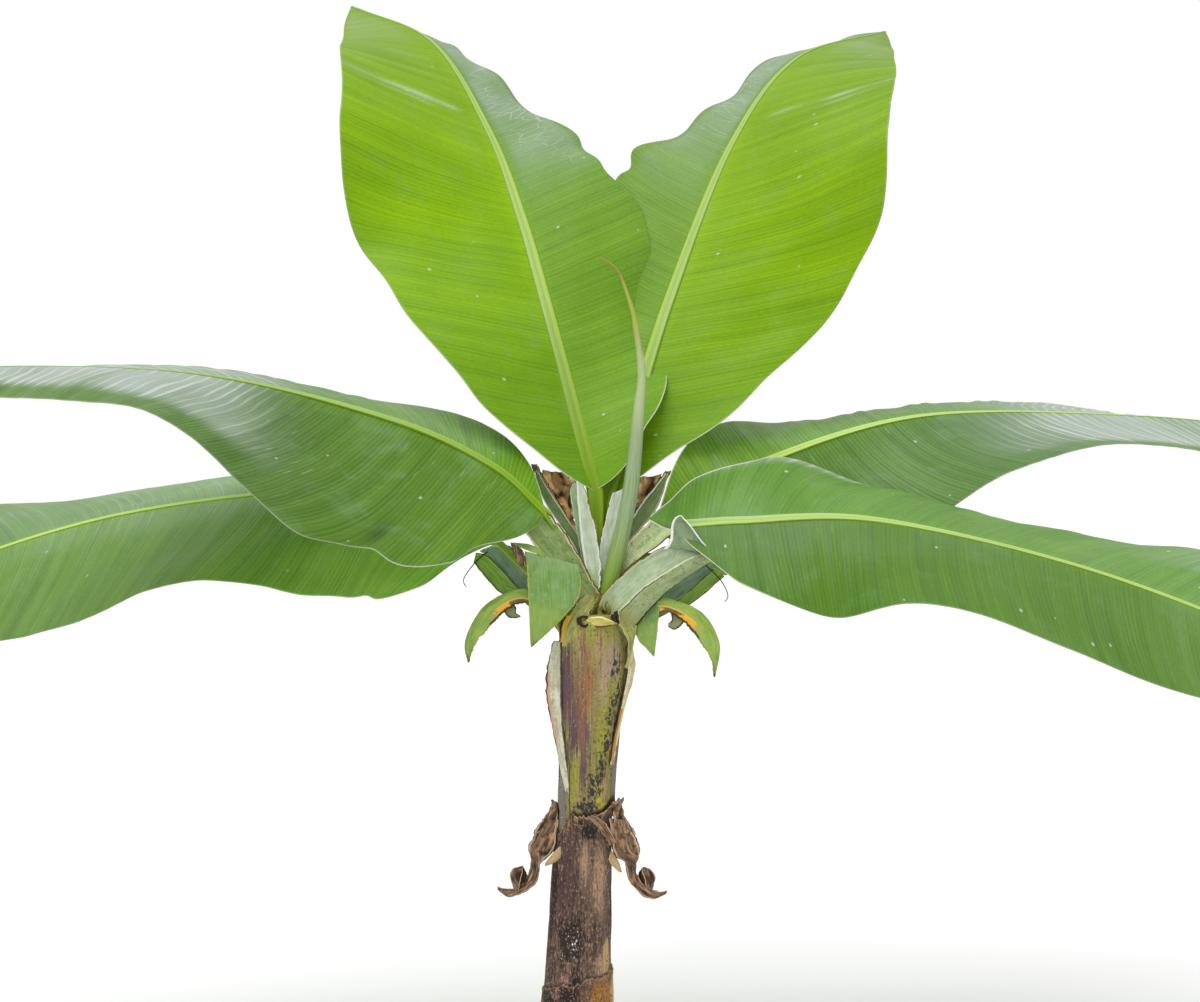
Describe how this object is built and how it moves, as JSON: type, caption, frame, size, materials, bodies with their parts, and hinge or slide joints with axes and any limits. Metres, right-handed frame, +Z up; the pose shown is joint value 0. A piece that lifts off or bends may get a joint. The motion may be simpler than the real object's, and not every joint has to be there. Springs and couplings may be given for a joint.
{
  "type": "banana plant",
  "caption": "Young dwarf banana plant with a leaning stem of wrapped sheaths, broad arching leaves, a rolled new leaf and dry stubs.",
  "frame": {"origin": "middle of the flat cut under the stem, at ground level", "axes": "+Z up, +X to the right along the widest spread of the leaves, -Y the front"},
  "size_m": [3.3909, 1.2975, 2.3724],
  "materials": {
    "fresh_blade": "waxy bright green leaf blade, silk sheen",
    "mature_blade": "waxy mid green leaf blade, silk sheen",
    "stalk": "smooth yellow-green leaf stalk and rib",
    "pale_sheath": "pale green with a matt waxy bloom",
    "stub": "cut green leaf base with browned edges",
    "stem": "fibrous sheathed stem, matt brown below and yellow-green with purple above",
    "paper_sheath": "papery cream sheath edge, matt",
    "dry_sheath": "dry brown fibre, matt"
  },
  "bodies": {
    "root": {"pseudostem": "stem", "leaf_left_upper_inner": "fresh_blade", "leaf_left_upper_outer": "fresh_blade", "leaf_right_upper_inner": "fresh_blade", "leaf_right_upper_outer": "fresh_blade", "leaf_left_high_inner": "mature_blade", "leaf_left_high_outer": "mature_blade", "leaf_left_low_inner": "mature_blade", "leaf_left_low_outer": "mature_blade", "leaf_right_high_inner": "mature_blade", "leaf_right_high_outer": "mature_blade", "leaf_right_low_inner": "mature_blade", "leaf_right_low_outer": "mature_blade", "spear": "pale_sheath", "stalk_left_upper": "stalk", "stalk_right_upper": "stalk", "stalk_left_high": "stalk", "stalk_left_low": "stalk", "stalk_right_high": "stalk", "stalk_right_low": "stalk", "sheath_pale_left": "pale_sheath", "sheath_pale_right": "pale_sheath", "stub_channel_left": "stub", "stub_channel_right": "stub", "dry_remnant_left": "dry_sheath", "dry_remnant_right": "dry_sheath", "remnant_blade_left": "mature_blade", "remnant_blade_right": "mature_blade", "hook_left": "stub", "hook_right": "stub", "stub_flat_left": "stub", "stub_flat_right": "stub", "stub_back_left": "stub", "stub_back_right": "stub", "paper_sheath_left": "paper_sheath", "paper_sheath_right": "paper_sheath", "dry_curl_left": "dry_sheath", "dry_curl_right": "dry_sheath"}
  },
  "joints": []
}
